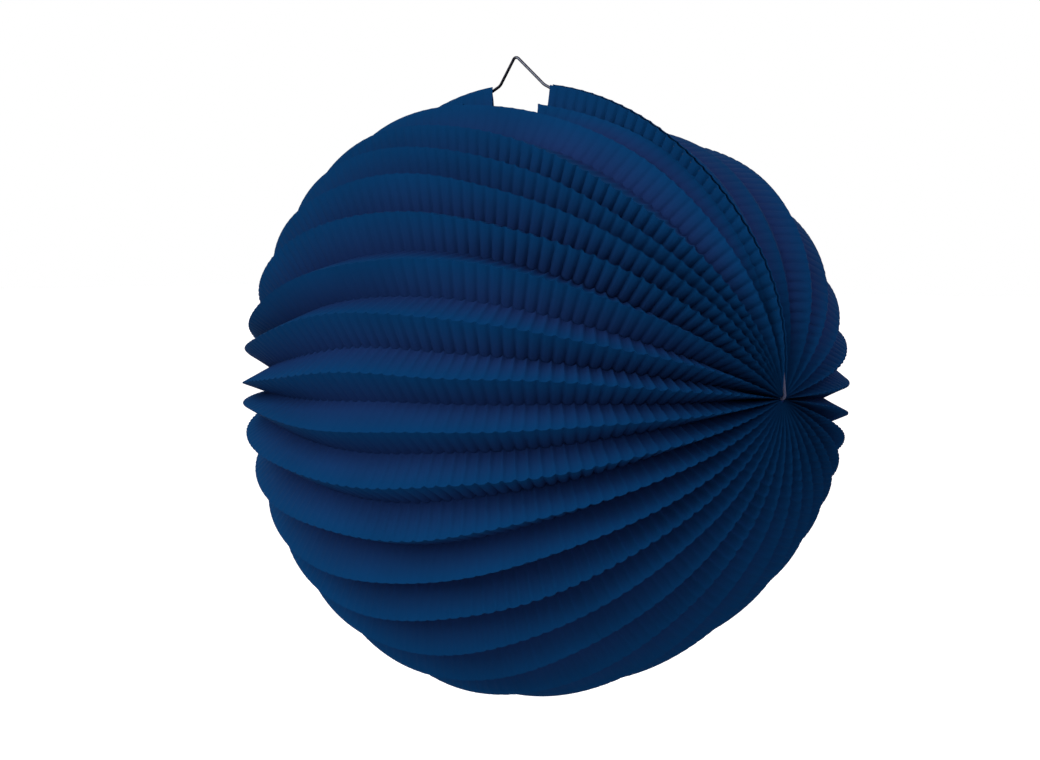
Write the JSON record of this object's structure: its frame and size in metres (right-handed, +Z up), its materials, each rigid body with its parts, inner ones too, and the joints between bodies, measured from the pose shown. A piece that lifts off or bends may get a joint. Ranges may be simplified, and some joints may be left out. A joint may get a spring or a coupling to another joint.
{
  "type": "paper lantern",
  "caption": "Round pleated paper lantern whose fan-folded shade closes into a ball around a bent wire hanger, with an open mouth at the top.",
  "frame": {"origin": "highest place inside the hanger wire's point, where a hook carries the lantern", "axes": "+Z up as hung, X along the polar axis that the pleats run to and fold about, -Y the side whose fin leans forward"},
  "size_m": [0.2402, 0.2493, 0.2613],
  "materials": {
    "paper": "navy crimped paper, matt",
    "gather": "pressed stack of navy paper ends",
    "wire": "bright drawn steel wire"
  },
  "bodies": {
    "hanger": {"hanger_wire": "wire", "front_end_panel_left": "paper", "front_end_panel_right": "paper", "pole_gather_left": "gather", "pole_gather_right": "gather"},
    "sector_01": {"shade_sector_01": "paper", "front_mouth_pleat_left": "paper", "front_mouth_pleat_right": "paper"},
    "sector_02": {"shade_sector_02": "paper"},
    "sector_03": {"shade_sector_03": "paper"},
    "sector_04": {"shade_sector_04": "paper"},
    "sector_05": {"shade_sector_05": "paper"},
    "sector_06": {"shade_sector_06": "paper"},
    "sector_07": {"shade_sector_07": "paper"},
    "sector_08": {"shade_sector_08": "paper"},
    "sector_09": {"shade_sector_09": "paper"},
    "sector_10": {"shade_sector_10": "paper"},
    "sector_11": {"shade_sector_11": "paper", "back_mouth_pleats_left": "paper", "back_mouth_pleats_right": "paper", "back_end_panel_left": "paper", "back_end_panel_right": "paper"}
  },
  "joints": [
    {"name": "fold_01", "type": "hinge", "parent": "hanger", "child": "sector_01", "pos_m": [0, 0.01831, -0.13545], "axis": [-1, 0, 0], "range_deg": [0, 23.2], "deforming": ["shade_sector_01", "front_mouth_pleat_left", "front_mouth_pleat_right"]},
    {"name": "fold_02", "type": "hinge", "parent": "sector_01", "child": "sector_02", "pos_m": [0, 0.01831, -0.13545], "axis": [-1, 0, 0], "range_deg": [0, 22.33], "deforming": ["shade_sector_02"]},
    {"name": "fold_03", "type": "hinge", "parent": "sector_02", "child": "sector_03", "pos_m": [0, 0.01831, -0.13545], "axis": [-1, 0, 0], "range_deg": [0, 28.9], "deforming": ["shade_sector_03"]},
    {"name": "fold_04", "type": "hinge", "parent": "sector_03", "child": "sector_04", "pos_m": [0, 0.01831, -0.13545], "axis": [-1, 0, 0], "range_deg": [0, 27.99], "deforming": ["shade_sector_04"]},
    {"name": "fold_05", "type": "hinge", "parent": "sector_04", "child": "sector_05", "pos_m": [0, 0.01831, -0.13545], "axis": [-1, 0, 0], "range_deg": [0, 26.83], "deforming": ["shade_sector_05"]},
    {"name": "fold_06", "type": "hinge", "parent": "sector_05", "child": "sector_06", "pos_m": [0, 0.01831, -0.13545], "axis": [-1, 0, 0], "range_deg": [0, 32.69], "deforming": ["shade_sector_06"]},
    {"name": "fold_07", "type": "hinge", "parent": "sector_06", "child": "sector_07", "pos_m": [0, 0.01831, -0.13545], "axis": [-1, 0, 0], "range_deg": [0, 34.19], "deforming": ["shade_sector_07"]},
    {"name": "fold_08", "type": "hinge", "parent": "sector_07", "child": "sector_08", "pos_m": [0, 0.01831, -0.13545], "axis": [-1, 0, 0], "range_deg": [0, 28.09], "deforming": ["shade_sector_08"]},
    {"name": "fold_09", "type": "hinge", "parent": "sector_08", "child": "sector_09", "pos_m": [0, 0.01831, -0.13545], "axis": [-1, 0, 0], "range_deg": [0, 29.91], "deforming": ["shade_sector_09"]},
    {"name": "fold_10", "type": "hinge", "parent": "sector_09", "child": "sector_10", "pos_m": [0, 0.01831, -0.13545], "axis": [-1, 0, 0], "range_deg": [0, 40.14], "deforming": ["shade_sector_10"]},
    {"name": "fold_11", "type": "hinge", "parent": "sector_10", "child": "sector_11", "pos_m": [0, 0.01831, -0.13545], "axis": [-1, 0, 0], "range_deg": [0, 38.98], "deforming": ["shade_sector_11", "back_mouth_pleats_left", "back_mouth_pleats_right"]}
  ],
  "couplings": [
    {"joint": "fold_02", "follows": "fold_01", "ratio": 0.9619},
    {"joint": "fold_03", "follows": "fold_01", "ratio": 1.2452},
    {"joint": "fold_04", "follows": "fold_01", "ratio": 1.2062},
    {"joint": "fold_05", "follows": "fold_01", "ratio": 1.156},
    {"joint": "fold_06", "follows": "fold_01", "ratio": 1.4087},
    {"joint": "fold_07", "follows": "fold_01", "ratio": 1.4731},
    {"joint": "fold_08", "follows": "fold_01", "ratio": 1.2102},
    {"joint": "fold_09", "follows": "fold_01", "ratio": 1.2889},
    {"joint": "fold_10", "follows": "fold_01", "ratio": 1.7299},
    {"joint": "fold_11", "follows": "fold_01", "ratio": 1.6798}
  ]
}
